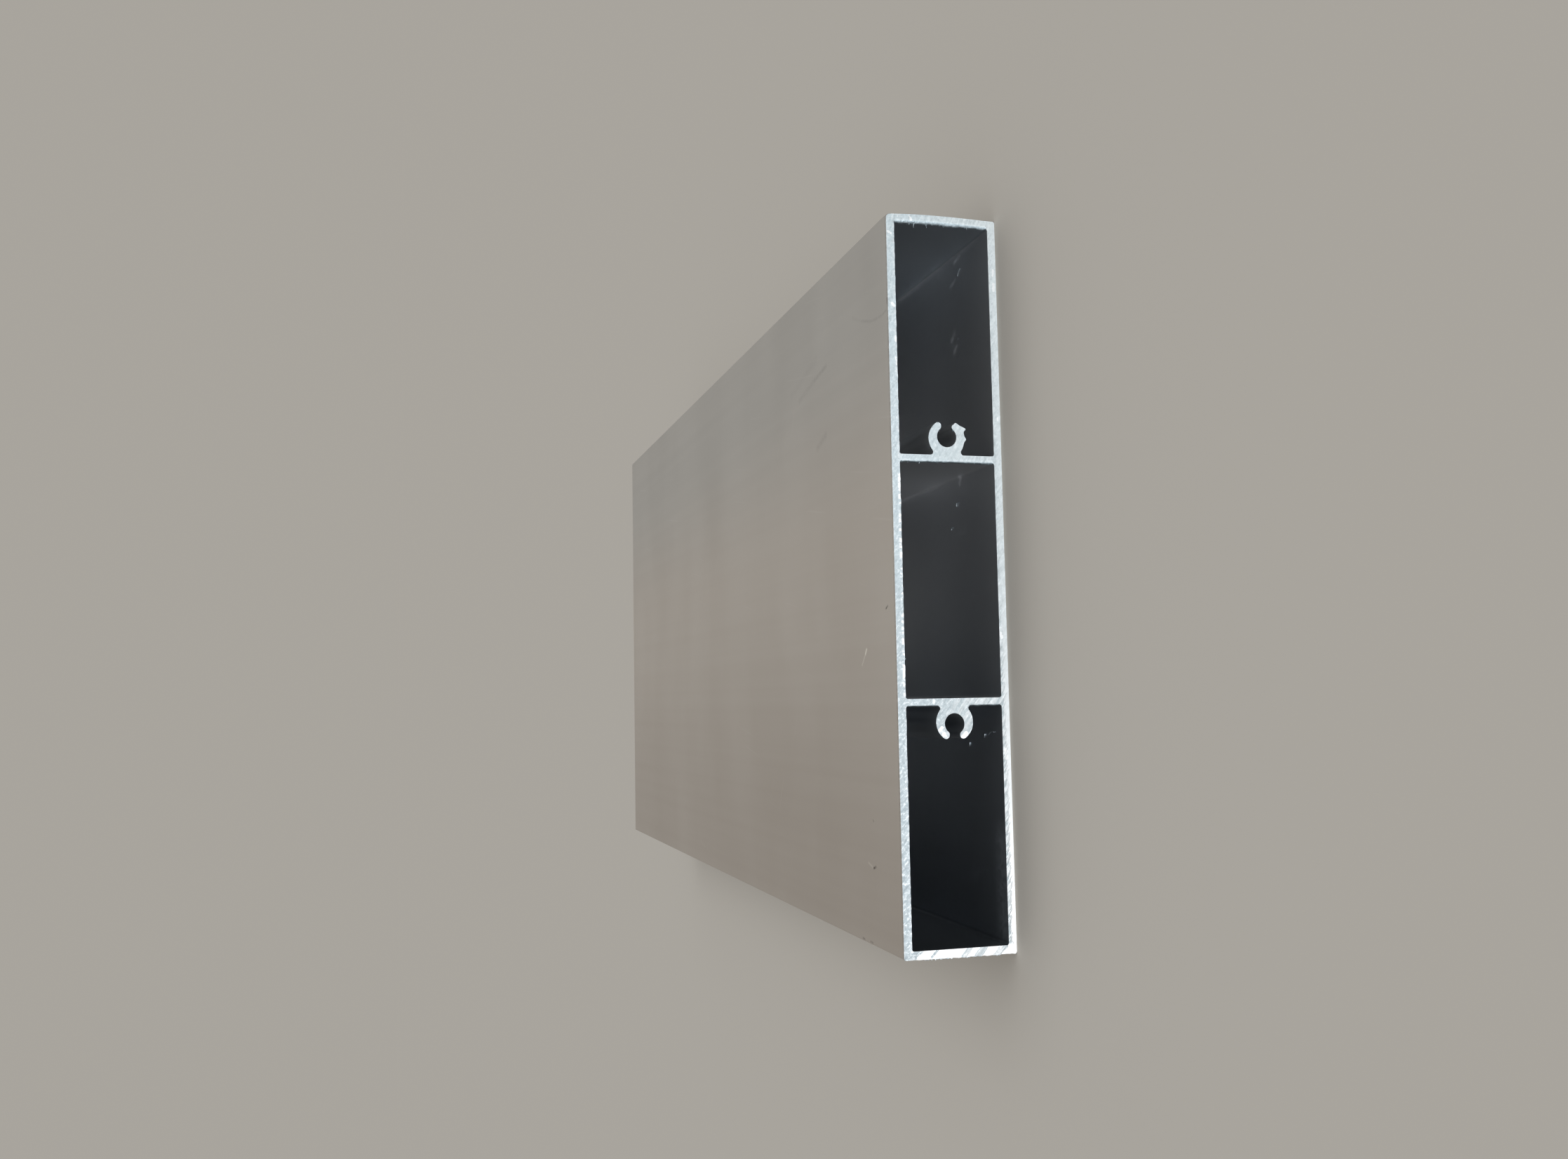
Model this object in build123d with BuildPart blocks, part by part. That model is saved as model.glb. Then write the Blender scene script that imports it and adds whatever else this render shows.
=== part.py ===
"""Hollow rectangular aluminium slat profile with three chambers and two screw ports.

One extruded piece of stock, sawn square at both ends and lying flat on a wide face.
X runs across the section, Y along the extrusion and Z up through the thickness.
The origin is on the floor, under the middle of the piece.
"""

import os

from build123d import *

# Overall size of the piece
slat_width = 125.0
slat_thickness = 20.0
cut_length = 260.0

# Walls of the hollow section
face_wall = 1.4
edge_wall = 1.4
web_thickness = 1.2
chamber_count = 3
outer_corner_radius = 0.4
chamber_corner_radius = 0.4

# Screw ports: open C-shaped channels for self-tapping screws.
# The floor is the metal between a web's outer face and the bore.
# The sink is how far the port's outer circle runs into the web.
port_bore = 3.5
port_outer = 6.6
port_mouth = 1.9
port_floor = 1.35
port_sink = 0.5
port_root_radius = 0.5
port_tip_radius = 0.6

# The chambers share what the walls and webs leave of the section
mid_height = slat_thickness / 2
chamber_depth = slat_thickness - 2 * face_wall
chamber_width = (slat_width - 2 * edge_wall - (chamber_count - 1) * web_thickness) / chamber_count
chamber_pitch = chamber_width + web_thickness

# Each port is measured from the outer face of its web
web_outer_face = chamber_width / 2 + web_thickness
bore_rise = port_floor + port_bore / 2
outer_rise = port_outer / 2 - port_sink
port_centre = web_outer_face + bore_rise

touch = 0.001

# One screw port, with its bore at the origin and its mouth towards +X.
# The bore sits further out than the outer circle, so the arms thin towards their tips.
with BuildSketch() as screw_port:
    with Locations((outer_rise - bore_rise, 0)):
        Circle(port_outer / 2)
    Circle(port_bore / 2, mode=Mode.SUBTRACT)
    Rectangle(port_outer, port_mouth, align=(Align.MIN, Align.CENTER), mode=Mode.SUBTRACT)
    tips = screw_port.vertices().filter_by(lambda v: abs(abs(v.Y) - port_mouth / 2) < touch)
    fillet(tips, port_tip_radius)

with BuildPart() as slat_profile:
    with BuildSketch(Plane.XZ) as section:
        with Locations((0, mid_height)):
            RectangleRounded(slat_width, slat_thickness, outer_corner_radius)
            with GridLocations(chamber_pitch, 0, chamber_count, 1):
                RectangleRounded(chamber_width, chamber_depth, chamber_corner_radius, mode=Mode.SUBTRACT)
            # The two ports face away from the middle chamber
            with PolarLocations(port_centre, 2):
                add(screw_port.sketch)
        # Small fillets blend each port's outer circle into its web
        roots = section.vertices().filter_by(
            lambda v: abs(abs(v.X) - web_outer_face) < touch and abs(v.Y - mid_height) < port_outer / 2
        )
        fillet(roots, port_root_radius)
    extrude(amount=cut_length / 2, both=True)
slat_profile.part.label = "slat_profile"

os.makedirs("parts", exist_ok=True)
export_step(slat_profile.part, "parts/slat_profile.step")
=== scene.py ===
"""The looks of a sawn length of hollow aluminium slat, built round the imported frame.

The slat is one surface. The outlines of its section, worked out as arcs and straights, are carried
along its length, and each end is closed with a ridged sawn face. Burrs and saw chips are small
surfaces of their own. Lengths are in metres: X runs across the slat, Y along it and Z up.
"""

import math

import bpy
import numpy as np
from mathutils import Matrix, Vector
from mathutils.geometry import delaunay_2d_cdt


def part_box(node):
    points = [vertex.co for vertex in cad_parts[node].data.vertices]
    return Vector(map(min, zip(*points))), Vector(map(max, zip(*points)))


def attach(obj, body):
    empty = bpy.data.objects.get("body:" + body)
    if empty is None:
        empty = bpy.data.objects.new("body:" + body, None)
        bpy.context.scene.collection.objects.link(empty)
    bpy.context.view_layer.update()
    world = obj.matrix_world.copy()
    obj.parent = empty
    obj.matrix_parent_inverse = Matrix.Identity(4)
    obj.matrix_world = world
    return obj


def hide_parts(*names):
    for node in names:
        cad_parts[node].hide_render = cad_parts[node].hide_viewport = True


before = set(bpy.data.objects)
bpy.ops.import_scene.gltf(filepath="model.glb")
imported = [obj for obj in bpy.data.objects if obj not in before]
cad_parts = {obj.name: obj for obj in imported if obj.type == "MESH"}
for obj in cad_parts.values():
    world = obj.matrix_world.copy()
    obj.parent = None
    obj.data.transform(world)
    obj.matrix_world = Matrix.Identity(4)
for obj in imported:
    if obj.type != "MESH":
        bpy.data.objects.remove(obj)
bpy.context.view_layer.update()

mm = 0.001
seed = 41

# The slat's box, from the frame
low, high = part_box("slat_profile")
width = high.x - low.x
length = high.y - low.y
thickness = high.z - low.z
mid_height = (low.z + high.z) / 2
near_cut = low.y
far_cut = high.y

# The section's walls, webs and screw ports
face_wall = 1.4 * mm
edge_wall = 1.4 * mm
web_thickness = 1.2 * mm
corner_radius = 0.4 * mm
port_bore = 3.5 * mm
port_outer = 6.6 * mm
port_mouth = 1.9 * mm
port_floor = 1.35 * mm
port_sink = 0.5 * mm
port_root_radius = 0.5 * mm
port_tip_radius = 0.6 * mm

chamber_depth = thickness - 2 * face_wall
chamber_width = (width - 2 * edge_wall - 2 * web_thickness) / 3
web_outer_face = chamber_width / 2 + web_thickness
edge_inner_face = width / 2 - edge_wall
port_bore_rise = port_floor + port_bore / 2
port_outer_rise = port_outer / 2 - port_sink
port_centre = web_outer_face + port_bore_rise

# How finely the surfaces are divided, and the angle in degrees past which an edge is sharp
outline_step = 0.25 * mm
sawn_step = 0.36 * mm
rings_per_half = 11
ring_growth = 2.0
sharp_angle = 38

# The slat's material slots
skin_slot = 0
chamber_slot = 1
sawn_slot = 2
torn_slot = 3


# Shapes of the section, as points (x, z) with z measured from the slat's middle height

def arc(centre, radius, start, end, step=15):
    """Points on a circle: the centre plus the radius times (cosine, sine) of an angle that runs
    evenly from start to end, in degrees."""
    count = math.ceil(abs(end - start) / step) + 1
    angle = np.radians(np.linspace(start, end, count))
    return np.array(centre) + radius * np.stack([np.cos(angle), np.sin(angle)], axis=1)


def rounded_corners(left, right, half_height, radius):
    """Four quarter circles, one in each corner of a rectangle, anticlockwise from its lower left."""
    x0 = left + radius
    x1 = right - radius
    z = half_height - radius
    corners = [((x0, -z), 180), ((x1, -z), 270), ((x1, z), 0), ((x0, z), 90)]
    return np.concatenate([arc(centre, radius, turn, turn + 90) for centre, turn in corners])


def port_outline():
    """The surface of the right port, from its upper root round the open C to its lower root.

    The port is the ring between an outer circle and a bore, cut open at its mouth. Each fillet's
    centre lies its own radius from a straight line, and from a circle's centre the sum of the two
    radii, or their difference where it lies inside the circle.
    """
    outer = port_outer / 2
    bore = port_bore / 2
    outer_x = port_outer_rise - port_bore_rise
    root_x = port_root_radius - port_bore_rise
    root_z = math.sqrt((outer + port_root_radius) ** 2 - (root_x - outer_x) ** 2)
    tip_z = port_mouth / 2 + port_tip_radius
    outer_tip_x = outer_x + math.sqrt((outer - port_tip_radius) ** 2 - tip_z**2)
    inner_tip_x = math.sqrt((bore + port_tip_radius) ** 2 - tip_z**2)
    root_turn = math.degrees(math.atan2(root_z, root_x - outer_x))
    outer_turn = math.degrees(math.atan2(tip_z, outer_tip_x - outer_x))
    bore_turn = math.degrees(math.atan2(tip_z, inner_tip_x))
    upper = np.concatenate([
        arc((root_x, root_z), port_root_radius, 180, 180 + root_turn),
        arc((outer_x, 0), outer, root_turn, outer_turn, 6),
        arc((outer_tip_x, tip_z), port_tip_radius, outer_turn, -90),
        arc((inner_tip_x, tip_z), port_tip_radius, -90, bore_turn - 180),
        arc((0, 0), bore, bore_turn, 180, 8),
    ])
    lower = upper[::-1] * (1, -1)
    return np.concatenate([upper, lower[1:]]) + (port_centre, 0)


def divided(outline, step):
    """A closed outline with its straights divided. Each side is cut into as many equal parts as its
    length over the step, rounded up, and points that fall together are dropped."""
    following = np.roll(outline, -1, axis=0)
    outline = outline[np.linalg.norm(following - outline, axis=1) > 0.001 * mm]
    following = np.roll(outline, -1, axis=0)
    parts = np.ceil(np.linalg.norm(following - outline, axis=1) / step).astype(int)
    side = np.repeat(np.arange(len(outline)), parts)
    first = np.repeat(np.cumsum(parts) - parts, parts)
    share = (np.arange(len(side)) - first) / parts[side]
    return outline[side] + share[:, None] * (following - outline)[side]


def section_outlines():
    """The outer outline and the outlines of the left, middle and right chambers, all anticlockwise."""
    outer = rounded_corners(-width / 2, width / 2, thickness / 2, corner_radius)
    middle = rounded_corners(-chamber_width / 2, chamber_width / 2, chamber_depth / 2, corner_radius)
    box = rounded_corners(web_outer_face, edge_inner_face, chamber_depth / 2, corner_radius)
    right = np.concatenate([box, port_outline()])
    left = right[::-1] * (-1, 1)
    return [divided(outline, outline_step) for outline in (outer, left, middle, right)]


def metal_points(step, margin):
    """A triangular grid of points in the section's metal, at least a margin inside it.

    A point is in the metal if it is inside the outer box and outside every chamber, or if it is in
    a side chamber and between the port's two circles, away from the mouth.
    """
    columns = np.arange(-width / 2, width / 2, step)
    rows = np.arange(-thickness / 2, thickness / 2, step * math.sqrt(3) / 2)
    x, z = np.meshgrid(columns, rows)
    x = (x + (np.arange(len(rows)) % 2)[:, None] * step / 2).ravel()
    z = z.ravel()
    side = np.abs(x)
    height = np.abs(z)
    u = side - port_centre
    outer_distance = np.hypot(u + port_bore_rise - port_outer_rise, z)
    in_box = (side < width / 2 - margin) & (height < thickness / 2 - margin)
    deep = height < chamber_depth / 2 + margin
    in_middle = (side < chamber_width / 2 + margin) & deep
    in_side = (side > web_outer_face - margin) & (side < edge_inner_face + margin) & deep
    in_ring = (outer_distance < port_outer / 2 - margin) & (np.hypot(u, z) > port_bore / 2 + margin)
    at_mouth = (u > 0) & (height < port_mouth / 2 + 3 * margin)
    metal = in_box & ~in_middle & (~in_side | (in_ring & ~at_mouth))
    return np.stack([x, z], axis=1)[metal]


# What the saw did to the cut ends

# The saw's strokes are arcs round this point of the section's plane
stroke_centre = (168 * mm, 249 * mm)
ridge_pitch = 1.3 * mm
ridge_height = 0.012 * mm
ridge_depth = 0.02 * mm

# The teeth round off the edges where they enter the metal, and roll a lip out of those they leave by
exit_side = (-0.88, -0.48)
rounding_reach = 0.07 * mm
rounding_depth = 0.10 * mm
even_lip = 0.17 * mm
outer_even_lip = 0.05 * mm
ragged_lip = 0.32 * mm
lip_depth = 0.40 * mm
roll_reach = 0.22 * mm
face_margin = 0.34 * mm

# Dents and bulges of the right port's lower arm at the near cut, and the worn upper corner: the
# centre (x, z) from the bore's middle, the move (x, z), the spread and the depth
bent_arm = {
    "tip_corner": ((1.55 * mm, -2.75 * mm), (-0.06 * mm, -0.76 * mm), 0.52 * mm, 1.6 * mm),
    "tip_end": ((2.00 * mm, -2.35 * mm), (-0.05 * mm, -0.02 * mm), 0.45 * mm, 1.4 * mm),
    "mouth": ((2.35 * mm, -1.15 * mm), (-0.12 * mm, -0.24 * mm), 0.40 * mm, 1.0 * mm),
    "bump": ((-0.35 * mm, -3.30 * mm), (0.0, -0.27 * mm), 0.28 * mm, 0.5 * mm),
    "root": ((-1.30 * mm, -3.00 * mm), (0.0, 0.10 * mm), 0.50 * mm, 0.7 * mm),
    "upper_corner": ((width / 2 - port_centre, thickness / 2), (-0.13 * mm, -0.13 * mm), 0.42 * mm, 0.8 * mm),
}
wall_bow = 0.27 * mm
wall_bow_depth = 40 * mm


def ridges(x, z):
    """Height of the saw's ridges: a wave of the distance to the stroke centre, whose phase is pushed
    by slow waves along and across the strokes, so that no two ridges are alike."""
    distance = np.hypot(x - stroke_centre[0], z - stroke_centre[1])
    slow = 1.7 * np.sin(x / (7.1 * mm)) + 1.3 * np.sin(distance / (5.3 * mm) + 1.1)
    strong = 0.65 + 0.35 * np.sin(distance / (3.7 * mm) + x / (11 * mm))
    return ridge_height * strong * np.sin(2 * np.pi * distance / ridge_pitch + slow)


def pushed(x, z, setback):
    """The move (x, z) of each point behind the near cut.

    Each dent or bulge moves what is round it by its move times a bell curve of the distance, which
    fades with the depth behind the cut. The right edge wall is bowed by a parabola over its height,
    which leans to the upper side and fades more slowly.
    """
    move = np.zeros((len(x), 2))
    for centre, shift, spread, depth in bent_arm.values():
        apart = ((x - port_centre - centre[0]) ** 2 + (z - centre[1]) ** 2) / spread**2
        move += np.exp(-apart - setback / depth)[:, None] * shift
    height = 2 * z / thickness
    arch = (1 - height**2) * (1 + 0.4 * height)
    in_wall = np.clip((x - edge_inner_face) / (0.5 * mm) + 1, 0, 1)
    move[:, 0] += wall_bow * arch * in_wall * np.exp(-setback / wall_bow_depth)
    return move


def uneven(count, knots, chance):
    """A closed row of uneven values from 0 to 1: random knots, joined by straights."""
    values = chance.random(knots)
    place = np.arange(count) * knots / count
    return np.interp(place, np.arange(knots + 1), np.append(values, values[0]))


def outward(outline):
    """Unit directions to the right of travel, square to the line between a point's two neighbours."""
    along = np.roll(outline, -1, axis=0) - np.roll(outline, 1, axis=0)
    return np.stack([along[:, 1], -along[:, 0]], axis=1) / np.linalg.norm(along, axis=1)[:, None]


def cut_edge(outline, side, setback, even, chance):
    """How far each point of an outline, at each setback from a cut, stands out from its wall.

    An edge that the teeth enter is rounded off, by an exponential of the setback. An edge that they
    leave by has a lip, even in part and ragged in part. Under the upper wall the lip stands in the
    cut's own plane. On the edge walls and webs it rises from the cut, is highest at its own depth and
    then falls like a bell curve. Both grow with the cosine between the edge's own direction and the
    exit side. In the chambers, the lip's edge is also rolled back at the cut, more towards the
    right. The ports have smaller lips.
    """
    facing = side @ np.array(exit_side)
    leaving = np.clip(facing, 0, 1)
    entering = np.clip(-facing, 0, 1)
    count = len(outline)
    fine = uneven(count, count // 2, chance)
    slow = uneven(count, count // 9, chance) * (0.4 + 0.9 * uneven(count, count // 40, chance))
    sideways = np.abs(side[:, 0])
    ragged = fine * (slow * sideways + 0.45 * fine * (1 - sideways))
    in_port = np.hypot(np.abs(outline[:, 0]) - port_centre, outline[:, 1]) < port_outer / 2 + port_sink
    size = np.where(in_port, 0.2, 1.0) * leaving
    lip = size * (even * (0.4 + 0.6 * sideways) + ragged_lip * ragged)
    roll = size * sideways * (even / even_lip) * roll_reach
    roll *= np.interp(outline[:, 0], (0, edge_inner_face), (0.1, 1))
    share = setback / lip_depth
    rise = (share * np.exp((1 - share**2) / 2))[:, None]
    near = np.exp(-setback / rounding_depth)[:, None]
    behind = sideways * min(even / even_lip, 1)
    return lip * (rise * behind + near * (1 - behind)) - near * (rounding_reach * entering + roll)


def rings_along():
    """The places along the slat where its outline is repeated, close together near both cuts. The
    distances from a cut grow by a fixed ratio, as a geometric series."""
    steps = np.arange(rings_per_half + 1)
    share = (ring_growth**steps - 1) / (ring_growth**rings_per_half - 1)
    first_half = near_cut + share * length / 2
    return np.concatenate([first_half, -first_half[-2::-1]])


def sawn_slat():
    """The whole slat as one closed mesh.

    Each outline is carried along the rings, with the rounding or lip of its cut edges, and the near
    cut's dents are added. Each sawn face is a triangulation of the outlines and of points in the
    metal, raised by the saw's ridges.
    """
    chance = np.random.default_rng(seed)
    outlines = section_outlines()
    rings = rings_along()
    setback = np.minimum(rings - near_cut, far_cut - rings)
    points = []
    faces = []
    slots = []
    near_rim = []
    far_rim = []
    start = 0
    for number, outline in enumerate(outlines):
        outer = number == 0
        count = len(outline)
        side = outward(outline) * (1 if outer else -1)
        even = outer_even_lip if outer else even_lip
        grid = outline[None] + cut_edge(outline, side, setback, even, chance)[..., None] * side[None]
        x = grid[..., 0].ravel()
        z = np.maximum(grid[..., 1], -thickness / 2).ravel()
        points.append(np.stack([x, np.repeat(rings, count), z], axis=1))
        ring, place = np.meshgrid(np.arange(len(rings) - 1), np.arange(count), indexing="ij")
        corner = start + ring * count + place
        beside = start + ring * count + (place + 1) % count
        quad = np.stack([corner, beside, beside + count, corner + count], axis=-1).reshape(-1, 4)
        faces += (quad[:, ::-1] if outer else quad).tolist()
        on_lip = (setback[ring] + setback[ring + 1] < 2 * lip_depth) & (side[:, 0] < -0.5)[place]
        slots.append(np.where(on_lip, torn_slot, skin_slot if outer else chamber_slot).ravel())
        near_rim.append(start + np.arange(count))
        start += len(x)
        far_rim.append(start - count + np.arange(count))
    inside = metal_points(sawn_step, face_margin)
    triangles = sawn_face(outlines, inside)
    for cut, rim in ((near_cut, near_rim), (far_cut, far_rim)):
        numbers = np.concatenate([*rim, start + np.arange(len(inside))])
        points.append(np.stack([inside[:, 0], np.full(len(inside), cut), inside[:, 1]], axis=1))
        start += len(inside)
        cap = numbers[triangles]
        faces += (cap if cut == near_cut else cap[:, ::-1]).tolist()
        slots.append(np.full(len(cap), sawn_slot))
    points = np.concatenate(points)
    x, y, z = points.T
    move = pushed(x, z, y - near_cut)
    from_cut = np.minimum(y - near_cut, far_cut - y)
    raised = ridges(x, z) * np.exp(-from_cut / ridge_depth)
    points[:, 0] += move[:, 0]
    points[:, 2] += move[:, 1] + mid_height
    points[:, 1] += raised * np.sign(y)
    mesh = bpy.data.meshes.new("sawn_slat")
    mesh.from_pydata(points.tolist(), [], faces)
    mesh.polygons.foreach_set("material_index", np.concatenate(slots).astype(np.int32))
    return mesh


def sawn_face(outlines, inside):
    """The triangulation of a cut, as numbers of the outline points first and the inside points after
    them. The chambers stay open, as holes."""
    flat = np.concatenate([*outlines, inside])
    loops = []
    start = 0
    for outline in outlines:
        loops.append(list(range(start, start + len(outline))))
        start += len(outline)
    within_outer_leave_holes = 2
    made = delaunay_2d_cdt(
        [Vector(point) for point in flat.tolist()], [], loops, within_outer_leave_holes, 1e-9
    )
    source = np.array([numbers[0] for numbers in made[3]])
    triangles = source[np.array(made[2])]
    a, b, c = (flat[triangles[:, corner]] for corner in range(3))
    turn = (b[:, 0] - a[:, 0]) * (c[:, 1] - a[:, 1]) - (b[:, 1] - a[:, 1]) * (c[:, 0] - a[:, 0])
    return np.where(turn[:, None] > 0, triangles, triangles[:, ::-1])


def unit(vectors):
    """Vectors brought to a length of one."""
    return vectors / np.linalg.norm(vectors, axis=-1, keepdims=True)


def slivers(name, roots, ahead, across, lengths, widths, depths, turns, stations=7):
    """A mesh of small curved slivers, each a closed surface of its own.

    A sliver's middle line is an arc that starts at its root, runs ahead and turns by its angle about
    the direction across. Its section is a diamond, as wide and deep as stated at the root and
    tapering to a point, as the square root of what is left of its length. None goes below the floor.
    """
    ahead = unit(ahead)
    across = unit(across - ahead * np.sum(across * ahead, axis=1)[:, None])
    above = np.cross(ahead, across)
    share = np.linspace(0, 1, stations)
    turn = turns[:, None] * share
    bend = turns[:, None, None]
    sine = np.sin(turn)[..., None]
    cosine = np.cos(turn)[..., None]
    reach = lengths[:, None, None] / bend
    middle = roots[:, None] + reach * (sine * ahead[:, None] + (1 - cosine) * above[:, None])
    top = cosine * above[:, None] - sine * ahead[:, None]
    taper = np.sqrt(1 - 0.97 * share)[None, :, None]
    wide = widths[:, None, None] / 2 * taper * across[:, None]
    deep = depths[:, None, None] / 2 * taper * top
    corners = np.stack([middle + wide, middle + deep, middle - wide, middle - deep], axis=2)
    corners[..., 2] = np.maximum(corners[..., 2], low.z)
    count = len(roots)
    sliver, station, corner = np.meshgrid(
        np.arange(count), np.arange(stations - 1), np.arange(4), indexing="ij"
    )
    first = (sliver * stations + station) * 4
    here = first + corner
    beside = first + (corner + 1) % 4
    sides = np.stack([here, beside, beside + 4, here + 4], axis=-1).reshape(-1, 4)
    root = np.arange(count)[:, None] * stations * 4 + np.array([3, 2, 1, 0])
    tip = np.arange(count)[:, None] * stations * 4 + (stations - 1) * 4 + np.array([0, 1, 2, 3])
    mesh = bpy.data.meshes.new(name)
    mesh.from_pydata(corners.reshape(-1, 3).tolist(), [], np.concatenate([sides, root, tip]).tolist())
    return mesh


# Burrs that stand out from the walls at the near cut: each wall's face, and their tips (x, z) in
# millimetres
standing_burrs = {
    "right_edge_wall": (edge_inner_face, ((60.2, 14.9), (60.5, 12.6), (60.6, 9.3), (60.5, 5.2))),
    "right_web": (chamber_width / 2, ((19.5, 14.9), (19.6, 11.7), (19.5, 4.9), (19.6, 2.4))),
}
random_burrs = 420
near_cut_share = 0.6

# Where a fringe of torn metal hangs from the near cut's left edge: heights in millimetres, and count
fringe = ((11.4, 16.2, 60), (5.8, 9.0, 40), (2.6, 4.4, 16))


def saw_burrs():
    """Slivers of torn metal along the edges by which the saw left the metal, at both cuts.

    The standing burrs and the fringe of the near cut are put where they are seen. The others are at
    random points of the outlines, more of them where an edge faces the exit side, and lean at random
    between the cut's own plane and the slat's length. Their lengths follow an exponential.
    """
    chance = np.random.default_rng(seed + 1)
    outlines = section_outlines()
    place = np.concatenate(outlines)
    side = np.concatenate([outward(o) * (1 if n == 0 else -1) for n, o in enumerate(outlines)])
    weight = np.clip(side @ np.array(exit_side), 0, 1) ** 2
    weight[place[:, 1] < -thickness / 2 + 0.01 * mm] = 0
    chosen = chance.choice(len(place), random_burrs, p=weight / weight.sum())
    place = place[chosen]
    side = side[chosen]
    end = np.where(np.arange(random_burrs) < random_burrs * near_cut_share, -1, 1)
    length_of = np.clip(chance.exponential(0.09, random_burrs), 0.05, 0.3) * mm
    tips = np.array([tip for face, row in standing_burrs.values() for tip in row]) * mm - (0, mid_height)
    wall_face = np.concatenate([np.full(len(row), face) for face, row in standing_burrs.values()])
    height = np.concatenate([chance.uniform(bottom, top, many) for bottom, top, many in fringe]) * mm
    fringe_side = np.stack([-np.ones(len(height)), chance.uniform(0.5, 1.1, len(height))], axis=1)
    fringe_place = np.stack([np.full(len(height), low.x), height - mid_height], axis=1)
    place = np.concatenate([place, np.stack([wall_face, tips[:, 1]], axis=1), fringe_place])
    reach = tips[:, 0] - wall_face
    side = np.concatenate([side, np.sign(reach)[:, None] * (1.0, 0.0), unit(fringe_side)])
    end = np.concatenate([end, np.full(len(place) - random_burrs, -1)])
    length_of = np.concatenate([length_of, np.abs(reach), chance.uniform(0.10, 0.38, len(height)) * mm])
    count = len(place)
    in_fringe = np.arange(count) >= count - len(height)
    lean = chance.normal(0, 0.45, count) * np.where(in_fringe, 0.4, 1.0)
    skew = chance.normal(0, 0.35, count) * np.where(in_fringe, 0.2, 1.0)
    along = np.stack([side[:, 1], -side[:, 0]], axis=1)
    flat = side * np.cos(lean)[:, None] + along * skew[:, None]
    ahead = np.stack([flat[:, 0], end * np.sin(lean), flat[:, 1]], axis=1)
    across = np.stack([along[:, 0], np.zeros(count), along[:, 1]], axis=1)
    sunk = 0.05 * mm
    behind = far_cut - chance.uniform(0.05, 0.40, count) * mm
    roots = np.stack([place[:, 0], end * behind, place[:, 1] + mid_height], axis=1)
    roots -= unit(ahead) * sunk
    widths = chance.uniform(0.08, 0.20, count) * mm * np.where(in_fringe, 1.9, 1.0)
    depths = chance.uniform(0.04, 0.08, count) * mm
    turns = chance.choice((-1, 1), count) * chance.uniform(0.2, 1.3, count)
    return slivers("saw_burrs", roots, ahead, across, length_of + sunk, widths, depths, turns)


# Saw chips that lie in the chambers, in millimetres: two ends (x, y), width, and turn in radians
loose_chips = {
    "right_spindle": ((57.7, -117.9), (56.7, -116.6), 0.20, 0.5),
    "middle_comma": ((15.3, -114.3), (14.7, -113.2), 0.24, 2.4),
    "middle_small": ((11.1, -111.3), (10.7, -110.4), 0.20, 2.0),
    "left_by_port": ((-26.3, -123.0), (-26.9, -122.0), 0.20, -1.8),
    "left_near": ((-25.9, -126.7), (-26.5, -124.4), 0.20, 0.9),
    "left_small": ((-27.9, -116.3), (-28.5, -115.2), 0.20, -2.2),
}


def swarf():
    """Curled saw chips on the floors of the chambers, near the near cut. A chip's length is the gap
    between its ends, made longer by what it turns."""
    chips = list(loose_chips.values())
    start = np.array([chip[0] for chip in chips]) * mm
    end = np.array([chip[1] for chip in chips]) * mm
    widths = np.array([chip[2] for chip in chips]) * mm
    turns = np.array([chip[3] for chip in chips])
    gap = np.linalg.norm(end - start, axis=1)
    heading = np.arctan2(end[:, 1] - start[:, 1], end[:, 0] - start[:, 0]) - turns / 2
    zero = np.zeros(len(chips))
    rest = low.z + face_wall + widths / 2
    roots = np.stack([start[:, 0], start[:, 1], rest], axis=1)
    ahead = np.stack([np.cos(heading), np.sin(heading), zero], axis=1)
    across = np.stack([zero, zero, -np.ones(len(chips))], axis=1)
    lengths = gap * turns / 2 / np.sin(turns / 2)
    return slivers("swarf", roots, ahead, across, lengths, widths, widths * 0.4, turns, 13)


def finished(mesh, name, materials):
    """A piece made from a mesh: shaded smooth up to the sharp angle, and riding with the slat."""
    for material in materials:
        mesh.materials.append(material)
    mesh.polygons.foreach_set("use_smooth", np.ones(len(mesh.polygons), bool))
    mesh.set_sharp_from_angle(angle=math.radians(sharp_angle))
    mesh.update()
    piece = bpy.data.objects.new(name, mesh)
    bpy.context.scene.collection.objects.link(piece)
    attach(piece, "root")
    return piece


# The finishes

class Value:
    """An output of a node. Values add, subtract and multiply, by Math nodes."""

    def __init__(self, socket):
        self.socket = socket
        self.tree = socket.id_data

    def beside(self, name):
        """Another output of the same node."""
        return Value(self.socket.node.outputs[name])

    def __add__(self, other):
        return maths("ADD", self, other)

    def __radd__(self, other):
        return maths("ADD", other, self)

    def __sub__(self, other):
        return maths("SUBTRACT", self, other)

    def __rsub__(self, other):
        return maths("SUBTRACT", other, self)

    def __mul__(self, other):
        return maths("MULTIPLY", self, other)


def feed(socket, value):
    """Gives an input a Value, a number or a tuple. A colour of three parts gets its fourth."""
    if isinstance(value, Value):
        value.tree.links.new(value.socket, socket)
    elif socket.type == "RGBA":
        socket.default_value = (*value, 1)
    else:
        socket.default_value = value


def node(tree, kind, inputs=None, output=0, **settings):
    """One output of a new node, whose inputs are fed and whose properties take the settings."""
    made = tree.nodes.new(kind)
    for name, value in settings.items():
        setattr(made, name, value)
    for name, value in (inputs or {}).items():
        feed(made.inputs[name], value)
    return Value(made.outputs[output])


def maths(operation, *values, clamp=False):
    """The output of a Math node."""
    tree = next(value.tree for value in values if isinstance(value, Value))
    return node(tree, "ShaderNodeMath", dict(enumerate(values)), operation=operation, use_clamp=clamp)


def vector_maths(operation, *values, output="Vector"):
    """An output of a Vector Math node."""
    inputs = dict(enumerate(values))
    return node(values[0].tree, "ShaderNodeVectorMath", inputs, output, operation=operation)


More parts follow.
